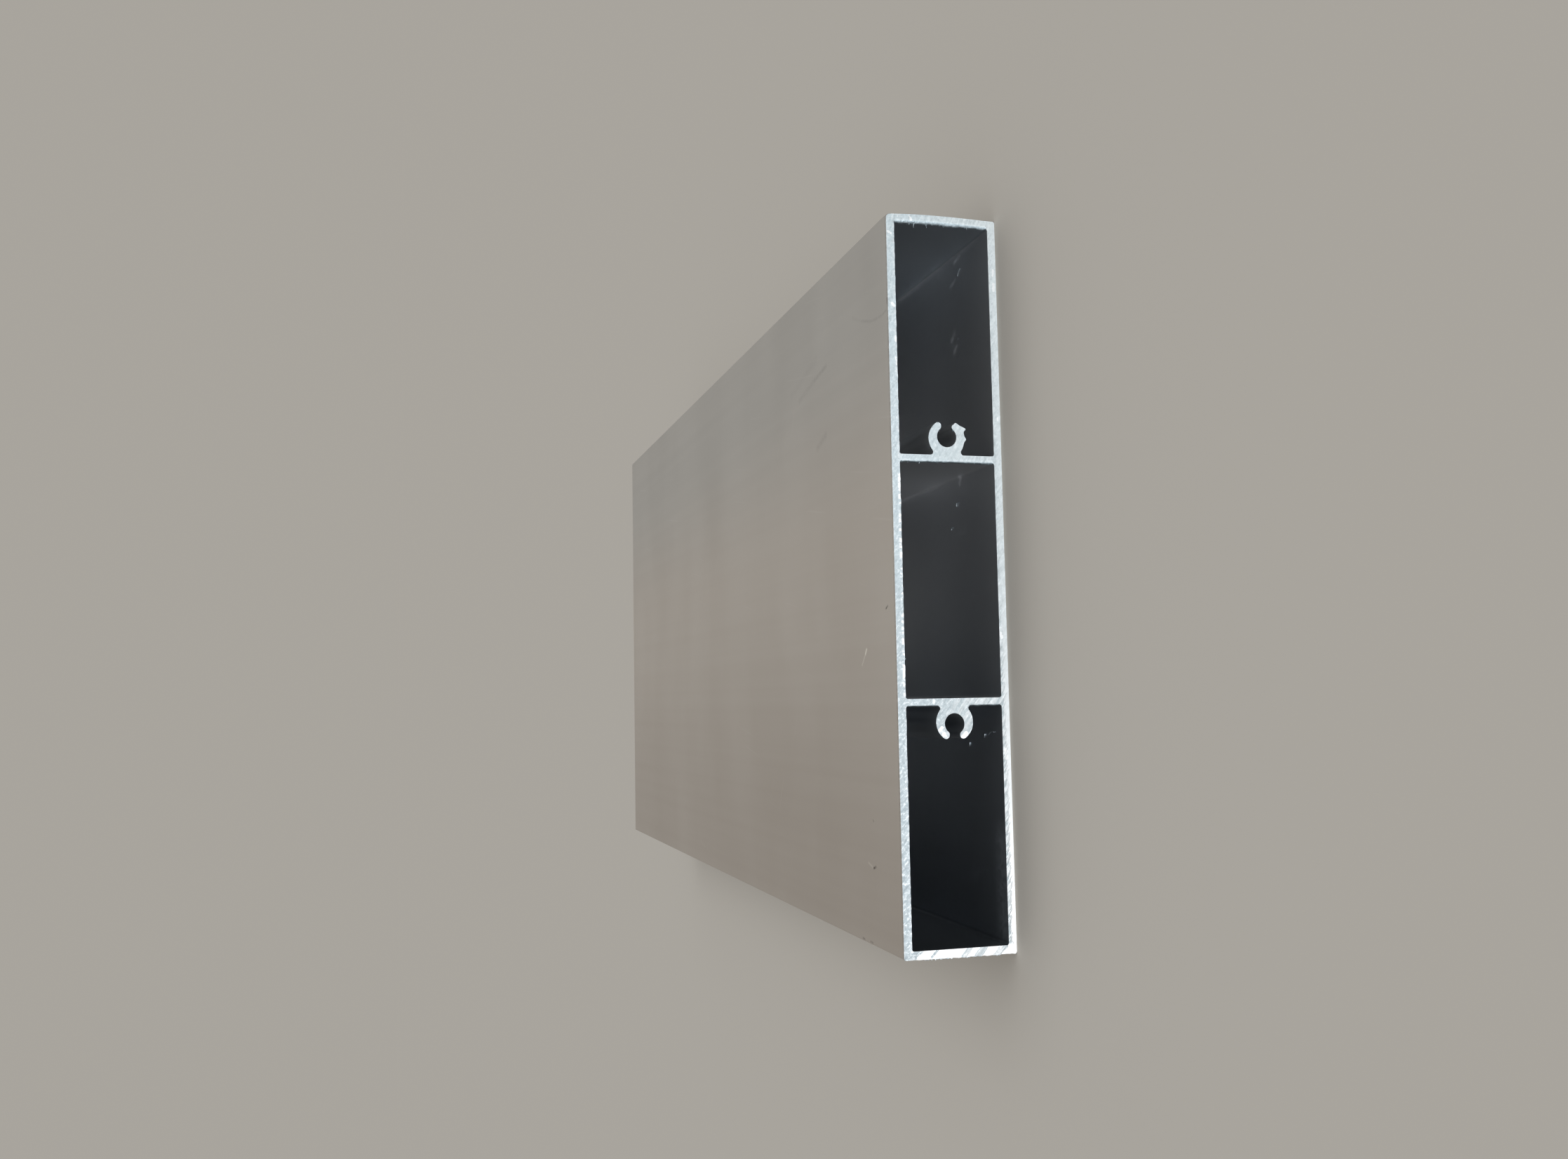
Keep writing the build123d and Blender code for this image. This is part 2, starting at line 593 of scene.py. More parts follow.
def larger(first, second):
    """The larger of two values."""
    return maths("MAXIMUM", first, second)


def between(value, start, end, low_value=0.0, high_value=1.0):
    """A smooth step: low_value below start, high_value above end, and an S curve between them."""
    inputs = {"Value": value, "From Min": start, "From Max": end, "To Min": low_value, "To Max": high_value}
    return node(value.tree, "ShaderNodeMapRange", inputs, interpolation_type="SMOOTHSTEP")


def blended(share, first, second):
    """A colour between two colours."""
    return node(share.tree, "ShaderNodeMix", {0: share, 6: first, 7: second}, 2, data_type="RGBA")


def layered(color, *layers):
    """A colour with layers blended over it, each with its share and its tone."""
    for share, tone in layers:
        color = blended(share, color, tone)
    return color


def effect(name, inputs, output):
    """A new node group with its named inputs and one output: its tree, its inputs as Values, and the
    socket that its result goes to."""
    tree = bpy.data.node_groups.new(name, "ShaderNodeTree")
    for label, (kind, value) in inputs.items():
        socket = tree.interface.new_socket(name=label, in_out="INPUT", socket_type=kind)
        socket.default_value = value
    tree.interface.new_socket(name=output, in_out="OUTPUT", socket_type="NodeSocketFloat")
    start = tree.nodes.new("NodeGroupInput")
    given = {label: Value(start.outputs[label]) for label in inputs}
    return tree, given, tree.nodes.new("NodeGroupOutput").inputs[output]


def placed(tree, group, **inputs):
    """The output of a node group that is placed in a material with its own values."""
    return node(tree, "ShaderNodeGroup", inputs, node_tree=group)


def object_place(tree):
    """The point of the slat that is shaded, in metres."""
    return node(tree, "ShaderNodeTexCoord", output="Object")


def object_parts(tree):
    """The x, y and z of the point of the slat that is shaded."""
    x = node(tree, "ShaderNodeSeparateXYZ", {"Vector": object_place(tree)})
    return x, x.beside("Y"), x.beside("Z")


def noise_at(place, **inputs):
    """The value of a Noise node at a place."""
    return node(place.tree, "ShaderNodeTexNoise", {"Vector": place, **inputs}, "Fac")


def stretched_noise_effect():
    """Noise on Object coordinates, with its own number of waves per metre along each axis. It makes
    die lines where it is drawn out along the slat, and cloudy bands where it is wide."""
    tree, given, result = effect(
        "stretched_noise",
        {"Waves": ("NodeSocketVector", (100, 100, 100)), "Detail": ("NodeSocketFloat", 2.0)},
        "Value",
    )
    place = vector_maths("MULTIPLY", object_place(tree), given["Waves"])
    feed(result, noise_at(place, Scale=1.0, Detail=given["Detail"], Roughness=0.55))
    return tree


def hairlines_effect():
    """Fine scratches: noise drawn out along a turned direction, cut off near its peaks, and kept
    only in patches."""
    tree, given, result = effect(
        "hairlines",
        {
            "Turn": ("NodeSocketVector", (0, 0, 0)),
            "Waves": ("NodeSocketVector", (1100, 22, 1100)),
            "Rarity": ("NodeSocketFloat", 0.68),
        },
        "Mask",
    )
    inputs = {"Vector": object_place(tree), "Rotation": given["Turn"]}
    turned = node(tree, "ShaderNodeMapping", inputs)
    drawn = vector_maths("MULTIPLY", turned, given["Waves"])
    above = noise_at(drawn, Scale=1.0, Detail=1.0) - given["Rarity"]
    patch = between(noise_at(turned, Scale=28.0, Detail=1.0), 0.42, 0.62)
    feed(result, maths("MULTIPLY", above, 14.0, clamp=True) * patch)
    return tree


def specks_effect():
    """Small spots: the middles of random cells, where a cell's own random value lets one through."""
    tree, given, result = effect(
        "specks",
        {
            "Cells": ("NodeSocketFloat", 120.0),
            "Size": ("NodeSocketFloat", 0.05),
            "Rarity": ("NodeSocketFloat", 0.8),
        },
        "Mask",
    )
    distance = node(tree, "ShaderNodeTexVoronoi", {"Vector": object_place(tree), "Scale": given["Cells"]})
    chosen = node(tree, "ShaderNodeSeparateColor", {"Color": distance.beside("Color")})
    spot = maths("LESS_THAN", distance, given["Size"] * chosen)
    feed(result, spot * maths("GREATER_THAN", chosen, given["Rarity"]))
    return tree


def stroke_effect():
    """One mark between two points: 1 on the line that joins them, and 0 from its width outwards."""
    tree, given, result = effect(
        "stroke",
        {
            "Start": ("NodeSocketVector", (0, 0, 0)),
            "End": ("NodeSocketVector", (0, 0.01, 0)),
            "Width": ("NodeSocketFloat", 0.0003),
        },
        "Mask",
    )
    away = vector_maths("SUBTRACT", object_place(tree), given["Start"])
    whole = vector_maths("SUBTRACT", given["End"], given["Start"])
    along = vector_maths("DOT_PRODUCT", away, whole, output="Value")
    squared = vector_maths("DOT_PRODUCT", whole, whole, output="Value")
    share = maths("DIVIDE", along, squared, clamp=True)
    nearest = node(tree, "ShaderNodeVectorMath", {0: whole, "Scale": share}, operation="SCALE")
    gap = vector_maths("LENGTH", vector_maths("SUBTRACT", away, nearest), output="Value")
    near = maths("SUBTRACT", 1.0, maths("DIVIDE", gap, given["Width"]), clamp=True)
    feed(result, between(near, 0.0, 1.0))
    return tree


def saw_strokes_effect():
    """The saw's strokes on a cut: noise of the distance to the stroke centre, which makes arcs, and
    of the place along them, which breaks the arcs up."""
    tree, given, result = effect(
        "saw_strokes",
        {"Pitch": ("NodeSocketFloat", 0.5 * mm), "Run": ("NodeSocketFloat", 7 * mm)},
        "Value",
    )
    x, _, z = object_parts(tree)
    across = x - stroke_centre[0]
    up = z - (stroke_centre[1] + mid_height)
    distance = maths("SQRT", across * across + up * up)
    inputs = {"X": maths("DIVIDE", distance, given["Pitch"]), "Y": maths("DIVIDE", x, given["Run"])}
    place = node(tree, "ShaderNodeCombineXYZ", inputs)
    feed(result, noise_at(place, Scale=1.0, Detail=3.0, Roughness=0.6))
    return tree


def new_material(name):
    """A material with an empty Principled shader. Gives the material, its tree and the shader."""
    material = bpy.data.materials.new(name)
    material.use_nodes = True
    tree = material.node_tree
    return material, tree, tree.nodes["Principled BSDF"]


def join(shader, color, roughness, height, depth, metallic=1.0):
    """Gives a shader its finish: colour, roughness, metal, and a height that a Bump node turns to
    slopes."""
    inputs = {"Height": height, "Distance": depth, "Strength": 1.0}
    slope = node(height.tree, "ShaderNodeBump", inputs)
    finish = {"Base Color": color, "Roughness": roughness, "Metallic": metallic, "Normal": slope}
    for name, value in finish.items():
        feed(shader.inputs[name], value)


# Marks on the upper wide face, in millimetres: two ends (x, y), width and how strong they are
face_marks = {
    "long_scratch_start": ((44.3, -94.5), (43.2, -86.5), 0.80, 0.20),
    "long_scratch_end": ((43.2, -86.5), (41.3, -75.9), 1.10, 0.10),
    "beside_the_scratch": ((47.2, -88.0), (43.6, -70.0), 1.50, 0.05),
    "short_smudge": ((31.0, -93.6), (29.4, -87.9), 1.20, 0.14),
    "curve_by_the_cut": ((45.9, -129.3), (45.6, -126.9), 0.45, 0.16),
    "curve_first": ((45.6, -126.9), (45.7, -124.4), 0.48, 0.14),
    "curve_second": ((45.7, -124.4), (46.2, -120.5), 0.50, 0.17),
    "curve_third": ((46.2, -120.5), (47.4, -116.1), 0.55, 0.15),
    "curve_last": ((47.4, -116.1), (49.3, -111.1), 0.60, 0.06),
    "upper_notch": ((47.9, -129.7), (47.0, -129.6), 0.36, 0.85),
    "lower_notch": ((41.3, -129.8), (36.7, -129.9), 0.24, 0.60),
    "speck_by_the_cut": ((-4.7, -125.4), (-4.3, -126.3), 0.32, 0.90),
    "tiny_speck": ((-40.8, -116.1), (-41.1, -116.5), 0.22, 0.60),
    "low_speck": ((-49.1, -116.0), (-48.8, -117.1), 0.38, 0.90),
    "first_edge_speck": ((-62.0, -109.2), (-62.0, -110.4), 0.34, 0.45),
    "second_edge_speck": ((-62.0, -113.4), (-62.0, -114.6), 0.34, 0.40),
}
bright_marks = {
    "ding": ((-11.2, -114.8), (-12.0, -114.1), 0.45, 0.95),
    "ding_tail": ((-12.0, -114.1), (-13.9, -112.2), 0.35, 0.35),
    "comet_tail": ((-49.0, -115.4), (-48.4, -113.2), 0.35, 0.25),
}

# Pale rubs on the chambers' floors, in the same form
chamber_rubs = {
    "right_corner_near": ((60.5, -125.0), (60.5, -109.0), 0.80, 0.05),
    "right_corner_middle": ((60.5, -109.0), (60.5, -98.0), 0.80, 0.09),
    "right_corner_far": ((60.5, -98.0), (60.5, -86.0), 1.00, 0.15),
    "right_by_the_corner": ((60.3, -117.6), (59.6, -115.2), 0.90, 0.20),
    "right_first": ((59.6, -108.7), (59.1, -107.4), 0.90, 0.08),
    "right_second": ((56.3, -115.0), (55.7, -113.2), 0.80, 0.12),
    "right_third": ((46.6, -114.0), (45.7, -112.9), 1.30, 0.13),
    "right_fourth": ((43.9, -115.0), (43.1, -114.0), 1.20, 0.17),
    "right_fifth": ((40.4, -117.2), (40.0, -116.4), 1.10, 0.06),
    "by_the_port": ((29.2, -99.3), (29.6, -93.5), 1.20, 0.10),
    "middle_corner": ((19.4, -104.0), (19.4, -80.0), 0.80, 0.10),
    "middle_oval": ((20.3, -115.6), (18.9, -114.7), 1.00, 0.20),
    "middle_low": ((10.4, -116.5), (9.4, -113.0), 0.80, 0.08),
    "left_first": ((-42.8, -114.4), (-45.3, -111.8), 1.20, 0.05),
    "left_second": ((-50.2, -118.5), (-52.4, -115.0), 1.20, 0.05),
    "left_rim": ((-44.0, -128.5), (-60.5, -128.5), 4.50, 0.09),
}

# Dull slashes across the near cut's left edge wall: two ends (x, z), width and how strong they are
cut_slashes = {
    "upper_corner": ((-61.0, 17.2), (-62.2, 18.4), 0.90, 0.9),
    "upper": ((-61.0, 14.0), (-62.2, 15.1), 0.36, 0.9),
    "middle": ((-61.1, 8.2), (-62.5, 9.5), 0.70, 0.8),
    "lower": ((-61.2, 5.8), (-62.5, 7.1), 0.90, 0.7),
    "lowest": ((-61.1, 2.2), (-62.6, 3.8), 0.95, 0.9),
}

# Painted glints on the near cut: bright spots with ragged outlines, painted as highlights, in the same form
cut_glints = {
    "upper_tip_of_left_port": ((-26.0, 11.9), (-26.6, 11.4), 0.75, 0.9),
    "lower_tip_of_left_port": ((-26.0, 8.0), (-26.6, 8.6), 0.75, 0.9),
    "arm_of_left_port": ((-24.9, 12.2), (-25.3, 12.5), 0.70, 0.8),
    "left_web": ((-20.4, 13.6), (-20.7, 13.6), 0.45, 0.7),
    "lower_wall": ((-9.2, 1.2), (-9.9, 0.9), 0.60, 0.9),
    "lower_wall_by_left_port": ((-28.8, 0.9), (-30.2, 0.7), 0.60, 0.9),
    "upper_wall_by_the_corner": ((59.4, 19.7), (59.1, 19.2), 0.40, 0.7),
    "upper_wall_first": ((46.9, 19.2), (46.5, 18.9), 0.45, 0.8),
    "upper_wall_second": ((41.2, 18.8), (40.4, 18.7), 0.35, 0.9),
    "upper_wall_third": ((37.6, 18.8), (36.4, 18.7), 0.30, 0.8),
    "right_edge_wall": ((62.2, 15.7), (61.7, 15.4), 0.40, 0.7),
    "lower_wall_first": ((53.8, 0.5), (52.9, 0.6), 0.40, 0.8),
    "lower_wall_second": ((51.3, 0.5), (50.2, 0.5), 0.45, 0.8),
    "lower_wall_by_right_port": ((27.8, 0.5), (27.3, 0.4), 0.40, 0.8),
}


def face_point(place):
    """A point of the upper wide face, from its x and y in millimetres."""
    return (place[0] * mm, place[1] * mm, high.z)


def floor_point(place):
    """A point of the chambers' floor, from its x and y in millimetres."""
    return (place[0] * mm, place[1] * mm, low.z + face_wall)


def cut_point(place):
    """A point of the near cut, from its x and z in millimetres."""
    return (place[0] * mm, near_cut, place[1] * mm)


def marked(tree, stroke, marks, point, value, tear=None, edge=0.0):
    """The larger of a value and of every mark, each as strong as stated.

    Where a tear is given, a mark's outline is ragged: its stroke times 1 plus 3 tears is cut off by
    an S curve, from the edge's value to 0.3 above it.
    """
    for start, end, wide, strength in marks.values():
        mask = placed(tree, stroke, Start=point(start), End=point(end), Width=wide * mm)
        if tear is None:
            mask *= strength
        else:
            mask = between(mask * (1.0 + tear * 3.0), edge, edge + 0.3, 0.0, strength)
        value = larger(value, mask)
    return value


def mill_skin(noise, hairlines, specks, stroke):
    """The extruded outer skin: satin, with die lines along it, a cloudy film across it, hairline scratches,
    specks, and the marks that the upper wide face has. Its colour is painted darker towards the -X side as
    painted shade, and a thin painted shade runs along the near cut."""
    material, tree, shader = new_material("mill_skin")
    fine = placed(tree, noise, Waves=(2600, 7, 2600), Detail=3.0)
    broad = placed(tree, noise, Waves=(420, 2.5, 420), Detail=2.0)
    film = placed(tree, noise, Waves=(9, 26, 9), Detail=2.0)
    cloud = placed(tree, noise, Waves=(38, 55, 38), Detail=3.0)
    long_hairs = placed(tree, hairlines, Turn=(0, 0, 0.16), Rarity=0.69)
    cross_hairs = placed(tree, hairlines, Turn=(0, 0, -1.1), Waves=(900, 40, 900), Rarity=0.72)
    hairs = larger(long_hairs, cross_hairs)
    spots = placed(tree, specks, Cells=95.0, Size=0.035, Rarity=0.90)
    worn = between(placed(tree, noise, Waves=(1700, 1100, 1700), Detail=3.0), 0.36, 0.60, 0.55, 1.0)
    x, y, _ = object_parts(tree)
    # Painted shade: a thin darker band on the skin along the near cut.
    painted_cut_shade = between(y, near_cut + 0.1 * mm, near_cut + 0.8 * mm, 0.42, 0.0)
    dark = marked(tree, stroke, face_marks, face_point, larger(spots * 0.8, painted_cut_shade)) * worn
    bright = marked(tree, stroke, bright_marks, face_point, 0.0)
    # Painted shade: the base colour darkens and warms towards the -X side, and turns neutral towards +X.
    color = layered(
        blended(between(x, 0.85 * low.x, 0.0), (0.505, 0.46, 0.425), (0.60, 0.56, 0.525)),
        (between(x, 0.1 * high.x, 0.8 * high.x), (0.515, 0.515, 0.51)),
        (between(film, 0.35, 0.70, 0.0, 0.08), (0.80, 0.80, 0.79)),
        (cloud * 0.25, (0.50, 0.49, 0.47)),
        (broad * 0.14, (0.80, 0.79, 0.77)),
        (hairs * 0.09, (0.86, 0.86, 0.85)),
        (bright, (0.98, 0.96, 0.91)),
        (dark, (0.07, 0.06, 0.05)),
    )
    rough = 0.335 + film * 0.07 + cloud * 0.10 + dark * 0.35
    height = fine * 0.35 + broad * 0.9 - hairs * 0.20 - dark * 1.2
    join(shader, color, rough, height, 0.004 * mm)
    return material


def chamber_wall(noise, hairlines, specks, stroke):
    """The walls inside the chambers: the same metal, with painted light and shade: painted lighter towards
    the right and darker towards the left, darker on the right edge wall's inner face, by the near cut, along
    the left edge wall and on the left chamber's floor by the near cut. With die lines, a few bright
    hairlines, pale rubs and specks of saw dust."""
    material, tree, shader = new_material("chamber_wall")
    fine = placed(tree, noise, Waves=(1900, 9, 1900), Detail=2.0)
    cloud = placed(tree, noise, Waves=(60, 25, 60), Detail=3.0)
    hairs = placed(tree, hairlines, Turn=(0, 0, 0.5), Waves=(700, 60, 700), Rarity=0.70)
    dust = placed(tree, specks, Cells=420.0, Size=0.08, Rarity=0.95)
    broken = between(placed(tree, noise, Waves=(1300, 900, 1300), Detail=3.0), 0.35, 0.62, 0.3, 1.0)
    x, y, _ = object_parts(tree)
    right = high.x - edge_wall
    left = low.x + edge_wall
    left_floor = between(x, low.x + 0.5 * edge_wall, low.x + 30 * mm, 0.30, 0.0)
    color = layered(
        # Painted light and shade: lighter towards the right, darker towards the left, and a darker inner face
        # of the right edge wall.
        blended(between(x, 0.8 * low.x, 0.5 * high.x), (0.47, 0.52, 0.58), (0.92, 0.94, 0.97)),
        (between(x, right - 0.3 * mm, right - 0.1 * mm), (0.64, 0.72, 0.80)),
        (cloud * 0.20, (0.52, 0.54, 0.57)),
        # Painted shade: darker by the near cut, along the left edge wall, and on the left chamber's floor by
        # the near cut.
        (between(y, near_cut, near_cut + 30 * mm, 0.40, 0.0), (0.12, 0.13, 0.14)),
        (between(x, left + 0.3 * mm, left + 0.9 * mm, 0.5, 0.0), (0.10, 0.12, 0.14)),
        (left_floor * between(y, near_cut, near_cut + 12 * mm, 1.0, 0.0), (0.10, 0.12, 0.13)),
    )
    rubbed = marked(tree, stroke, chamber_rubs, floor_point, 0.0) * broken
    rubbed = larger(larger(rubbed, hairs * 0.03), dust * 0.12)
    rough = 0.29 + cloud * 0.05 + rubbed
    metallic = maths("SUBTRACT", 0.92, rubbed, clamp=True)
    join(shader, color, rough, fine + dust * 3.0, 0.004 * mm, metallic)
    return material


def sawn_metal(noise, stroke, saw_strokes):
    """The sawn ends: fresh metal, mottled and torn into strokes.

    The ridges are deepest towards the lower left, where the saw broke through. There the crests are painted
    bright as painted highlights and the troughs darker as painted shade, and the outer half of the lower wall
    and the left edge wall are painted near white as painted glare, but for dull slashes. Small beads, and
    broken spots in a band along the upper wall's inner edge, most by the middle chamber, carry painted
    highlights, and the near cut has painted glints.
    """
    material, tree, shader = new_material("sawn_metal")
    strokes = placed(tree, saw_strokes, Pitch=0.55 * mm, Run=6 * mm)
    fine = placed(tree, saw_strokes, Pitch=0.16 * mm, Run=2.2 * mm)
    grain = placed(tree, noise, Waves=(2600, 2600, 2600), Detail=4.0)
    blotches = placed(tree, noise, Waves=(1100, 1100, 1100), Detail=3.0)
    tear = 1.0 - (strokes + blotches)
    x, _, z = object_parts(tree)
    to_left = between(x, low.x, 0.25 * high.x, 1.0, 0.2)
    to_right = between(x, low.x, high.x)
    to_floor = between(z, low.z, high.z, 1.0, 0.2)
    in_lower_wall = between(z, 1.2 * face_wall, 1.6 * face_wall, 1.0, 0.0)
    depth = to_left * between(to_floor, 0.3, 1.0, 0.16, 1.0)
    crest = between(strokes, 0.40, 0.60)

    # Painted glare: the outer half of the lower wall towards -X and the left edge wall below the corner are
    # painted near white as a painted highlight, except under the slashes.
    torn = z + (strokes - 0.5) * (2.2 * mm)
    outer_half = between(torn, 0.45 * face_wall, 0.70 * face_wall, 1.0, 0.0)
    in_left_wall = between(x, low.x + edge_wall, low.x + 1.3 * edge_wall, 1.0, 0.0)
    below_corner = between(z, 0.86 * high.z, 0.93 * high.z, 1.0, 0.0)
    slashed = marked(tree, stroke, cut_slashes, cut_point, 0.0, tear, 0.20)
    painted_glare = larger(outer_half * to_left, in_left_wall * below_corner) * (1.0 - slashed)
    # Painted shade in the troughs between the crests, deepest towards the lower left, and none under the
    # painted glare.
    hollow = (1.0 - crest) * depth * (1.0 - painted_glare)

    # The beads and the teeth are painted highlights: small spots near the upper wall's inner edge, and broken
    # spots in a band along that edge, strongest by the middle chamber.
    rim = high.z - 0.60 * face_wall
    beads = between(placed(tree, noise, Waves=(2600, 2600, 3400), Detail=1.0), 0.59, 0.65)
    beads *= between(z, 0.8 * high.z, 0.9 * high.z, 0.1, 1.0)
    beads *= larger(between(z, high.z - 0.95 * face_wall, rim, 1.0, 0.0), 0.12)
    teeth = between(placed(tree, noise, Waves=(1300, 1300, 500), Detail=2.0), 0.47, 0.55)
    on_rim = between(z, high.z - 0.88 * face_wall, rim, 1.0, 0.0) * between(z, 0.8 * high.z, 0.9 * high.z)
    by_middle = between(maths("ABSOLUTE", x), 0.28 * high.x, 0.34 * high.x, 1.0, 0.25)
    # Painted highlights: the crests towards the lower left, the glare, the beads and the band of teeth along
    # the rim.
    bright = larger(larger(crest * (depth * 0.8), painted_glare), beads * 0.5)
    bright = larger(bright, teeth * (on_rim * by_middle))
    bright = marked(tree, stroke, cut_glints, cut_point, bright, tear, 0.30)

    # Mottle: darker pits, and light flecks painted as glints, both strongest towards -X and faint under the
    # painted glare.
    mottle = placed(tree, saw_strokes, Pitch=0.32 * mm, Run=1.1 * mm)
    mottle += placed(tree, noise, Waves=(2100, 2100, 2100), Detail=3.0)
    mottled = between(x, low.x, 0.4 * high.x, 0.80, 0.38) * (1.0 - painted_glare * 0.8)
    # Painted light and shade in the base tone: lighter towards the lower wall and the floor side, darker
    # towards -X.
    upper_tone = blended(to_right, (0.38, 0.445, 0.49), (0.49, 0.58, 0.635))
    lower_tone = blended(to_right, (0.48, 0.545, 0.58), (0.66, 0.74, 0.78))
    color = layered(
        blended(larger(to_floor, in_lower_wall), upper_tone, lower_tone),
        (slashed * 0.75, (0.25, 0.31, 0.35)),
        (mottled * between(mottle, 0.76, 1.0, 0.7, 0.0), (0.24, 0.29, 0.33)),
        (mottled * between(mottle, 1.0, 1.24, 0.0, 0.9), (0.86, 0.91, 0.95)),
        (hollow, (0.38, 0.45, 0.49)),
        # Painted highlights and a painted sparkle from the grain, in one bright tone.
        (larger(bright, between(grain, 0.60, 0.72, 0.0, 0.4)), (0.88, 0.91, 0.94)),
    )
    relief = (0.10 + depth) * (1.0 - painted_glare)
    height = (strokes + fine * 0.45) * (0.06 + relief) + grain * 0.25
    join(shader, color, 0.58 + bright * 0.06, height, 0.05 * mm)
    return material


def torn_metal(noise):
    """The saw's lips, burrs and chips: torn metal, duller than the sawn faces and painted darker behind the
    cuts as painted shade, but paler further in, where the chips lie, and on the fringe outside."""
    material, tree, shader = new_material("torn_metal")
    grain = between(placed(tree, noise, Waves=(2600, 2600, 2600), Detail=2.0), 0.36, 0.66)
    x, y, _ = object_parts(tree)
    from_middle = maths("ABSOLUTE", y)
    at_cut = between(from_middle, far_cut - 0.40 * mm, far_cut - 0.02 * mm)
    deep = between(from_middle, far_cut - 1.4 * mm, far_cut - 0.9 * mm, 1.0, 0.0)
    outside = between(x, low.x - 0.02 * mm, low.x + 0.05 * mm, 1.0, 0.0)
    pale = larger(deep * 0.35, outside)
    # Painted shade: the torn metal darkens with the distance behind the cut.
    color = layered(
        blended(at_cut, (0.10, 0.13, 0.16), (0.40, 0.49, 0.55)),
        (grain * 0.3, (0.62, 0.72, 0.78)),
        (pale, (0.66, 0.73, 0.78)),
    )
    join(shader, color, 0.50 + pale * 0.15, grain, 0.012 * mm)
    return material


# Floor, light and camera. A level is a brightness as the floor or the metal sees it. A side and a
# height are angles in degrees, from the camera's end of the slat and above the floor. The spread
# and the roll are in degrees too. The camera's place, target and lens are in millimetres.

pale_tone = (0.448, 0.424, 0.384)
floor_radius = 12.0
floor_sides = 96
sky_level = 0.54
sun_level = 0.34
sun_side = 95
sun_height = 76
sun_spread = 80
lamp_level = 12.0
lamp_side = -13
lamp_height = 2.5
lamp_distance = 0.30
lamp_width = 0.60
lamp_depth = 0.06
camera_place = (-19.95, -352.70, 101.55)
camera_target = (-0.25, -130.0, 39.14)
camera_roll = 89.68
camera_lens = 32.694


def lay_floor():
    """A plain round floor at the slat's underside."""
    material, _, shader = new_material("pale_floor")
    finish = {"Base Color": pale_tone, "Roughness": 1.0, "Specular IOR Level": 0.0}
    for name, value in finish.items():
        feed(shader.inputs[name], value)
    turn = np.linspace(0, 2 * np.pi, floor_sides, endpoint=False)
    rim = np.stack([np.cos(turn), np.sin(turn), np.zeros(floor_sides)], axis=1) * floor_radius
    mesh = bpy.data.meshes.new("pale_floor")
    mesh.from_pydata((rim + (0, 0, low.z)).tolist(), [], [list(range(floor_sides))])
    mesh.materials.append(material)
    floor = bpy.data.objects.new("pale_floor", mesh)
    bpy.context.scene.collection.objects.link(floor)


def light_sky():
    """An even sky that lights the floor, and that the camera and the metal see in the floor's tone."""
    world = bpy.data.worlds.new("pale_sky")
    bpy.context.scene.world = world
    world.use_nodes = True
    tree = world.node_tree
    light = tree.nodes["Background"]
    feed(light.inputs["Color"], (1, 1, 1))
    feed(light.inputs["Strength"], sky_level)
    seen = node(tree, "ShaderNodeBackground", {"Color": pale_tone, "Strength": sky_level + sun_level})
    to_camera = node(tree, "ShaderNodeLightPath", output="Is Camera Ray")
    share = larger(to_camera, to_camera.beside("Is Glossy Ray"))
    share = larger(share, to_camera.beside("Is Transmission Ray"))
    mix = node(tree, "ShaderNodeMixShader", {0: share, 1: Value(light.outputs[0]), 2: seen})
    feed(tree.nodes["World Output"].inputs["Surface"], mix)


def direction(side, height):
    """The unit vector towards a place that lies at a side and height angle."""
    side = math.radians(side)
    height = math.radians(height)
    return Vector((math.sin(side) * math.cos(height), -math.cos(side) * math.cos(height), math.sin(height)))


def hung(data, place, towards):
    """A light at a place, turned to shine back along the direction that leads to it."""
    lamp = bpy.data.objects.new(data.name, data)
    lamp.location = place
    lamp.rotation_euler = towards.to_track_quat("Z", "Y").to_euler()
    bpy.context.scene.collection.objects.link(lamp)
    return lamp


def soft_sun():
    """A broad soft sun, which leaves the floor even."""
    data = bpy.data.lights.new("soft_sun", "SUN")
    data.angle = math.radians(sun_spread)
    data.energy = sun_level * math.pi / math.sin(math.radians(sun_height))
    return hung(data, (0, 0, 0), direction(sun_side, sun_height))


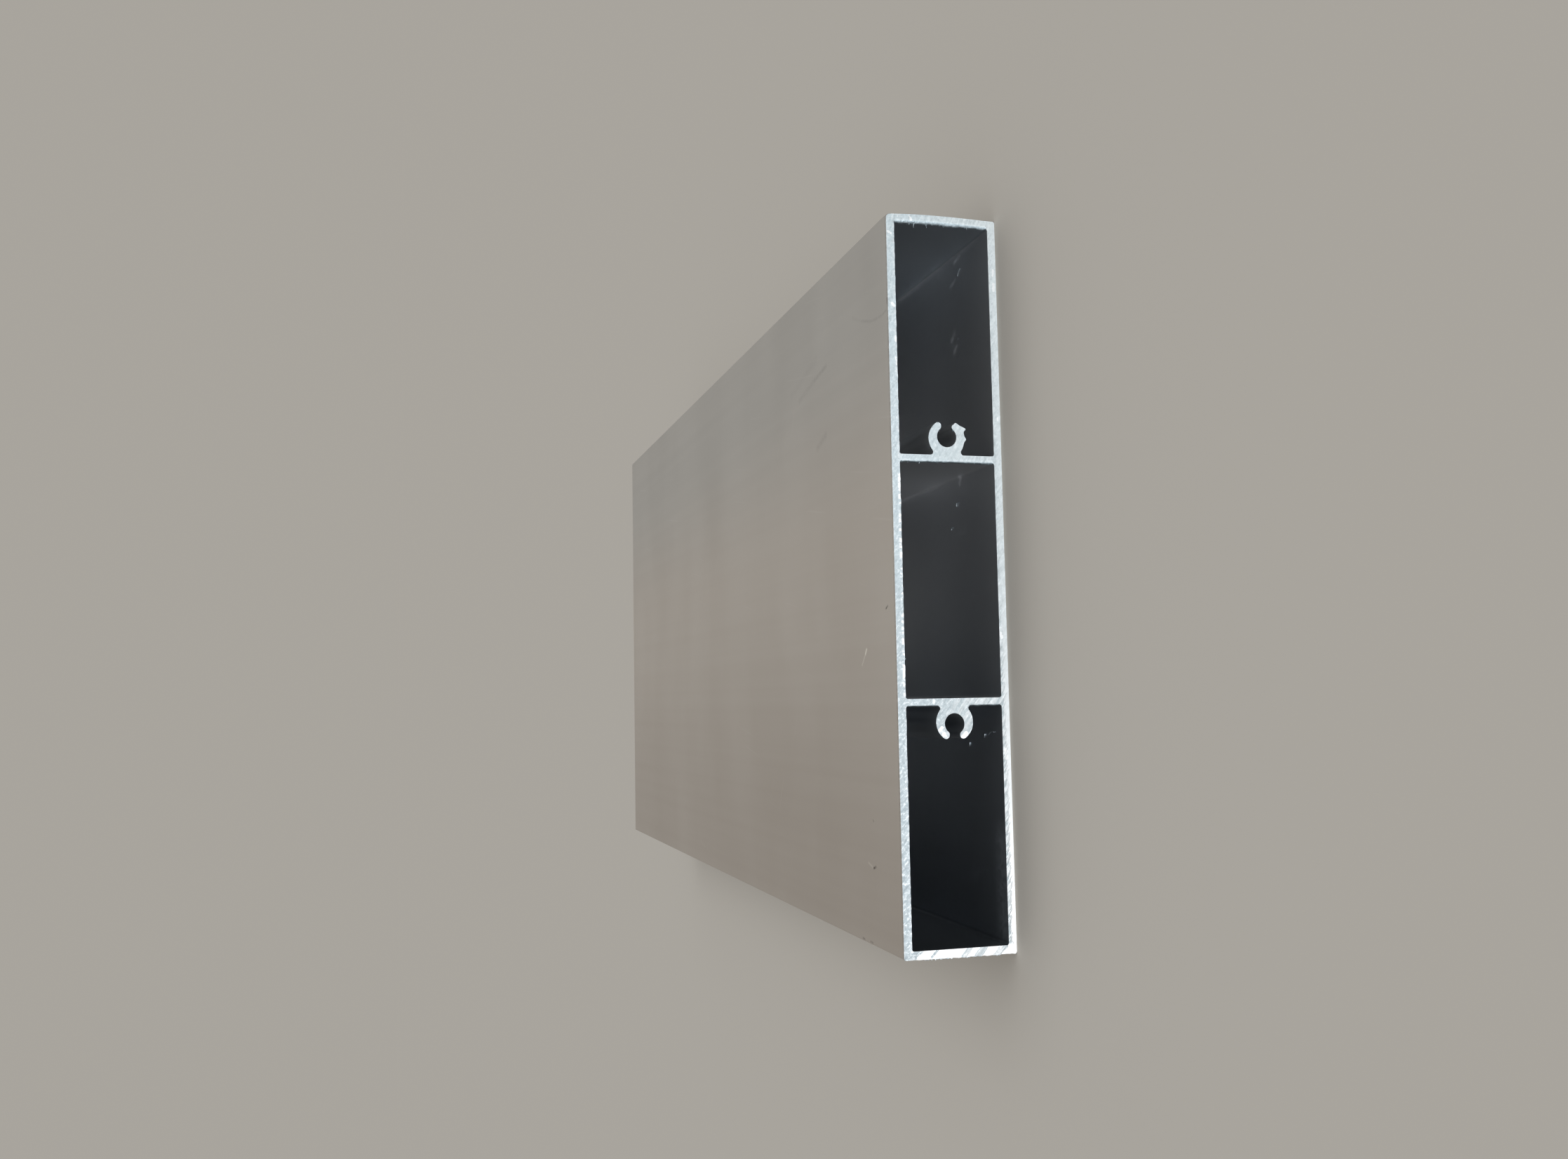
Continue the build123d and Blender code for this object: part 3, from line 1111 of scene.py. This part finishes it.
def near_cut_lamp():
    """A soft lamp, wide and low, that faces the near cut."""
    data = bpy.data.lights.new("near_cut_lamp", "AREA")
    data.shape = "RECTANGLE"
    data.size = lamp_width
    data.size_y = lamp_depth
    data.energy = lamp_level * math.pi * lamp_width * lamp_depth
    towards = direction(lamp_side, lamp_height)
    return hung(data, Vector((0, near_cut, mid_height)) + towards * lamp_distance, towards)


def light_alone(lamp, pieces):
    """Lets a lamp light some pieces alone, so that it leaves no bright patch on the floor."""
    lamp_lit = bpy.data.collections.new("lamp_lit")
    for piece in pieces:
        lamp_lit.objects.link(piece)
    lamp.light_linking.receiver_collection = lamp_lit


def photograph_camera():
    """The photograph's camera, from its place and target in millimetres, with the quarter turn that
    puts the slat's +X side at the top of the picture."""
    place = Vector(camera_place) * mm
    target = Vector(camera_target) * mm
    data = bpy.data.cameras.new("photograph_camera")
    data.sensor_width = 36
    data.lens = camera_lens
    data.clip_start = 0.01
    data.clip_end = 60
    camera = bpy.data.objects.new("photograph_camera", data)
    level = (place - target).to_track_quat("Z", "Y").to_matrix().to_4x4()
    turn = Matrix.Rotation(-math.radians(camera_roll), 4, "Z")
    camera.matrix_world = Matrix.Translation(place) @ level @ turn
    bpy.context.scene.collection.objects.link(camera)
    bpy.context.scene.camera = camera


photograph_camera()
lay_floor()
light_sky()
soft_sun()
lamp = near_cut_lamp()

noise = stretched_noise_effect()
hairlines = hairlines_effect()
specks = specks_effect()
stroke = stroke_effect()
saw_strokes = saw_strokes_effect()
skin = mill_skin(noise, hairlines, specks, stroke)
inner = chamber_wall(noise, hairlines, specks, stroke)
torn = torn_metal(noise)
sawn = sawn_metal(noise, stroke, saw_strokes)

slat = finished(sawn_slat(), "sawn_slat", [skin, inner, sawn, torn])
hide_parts("slat_profile")
burrs = finished(saw_burrs(), "saw_burrs", [torn])
chips = finished(swarf(), "swarf", [torn])
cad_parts["slat_profile"].material_slots[0].material = skin
light_alone(lamp, (slat, burrs, chips))

bpy.context.scene.view_settings.view_transform = "Standard"
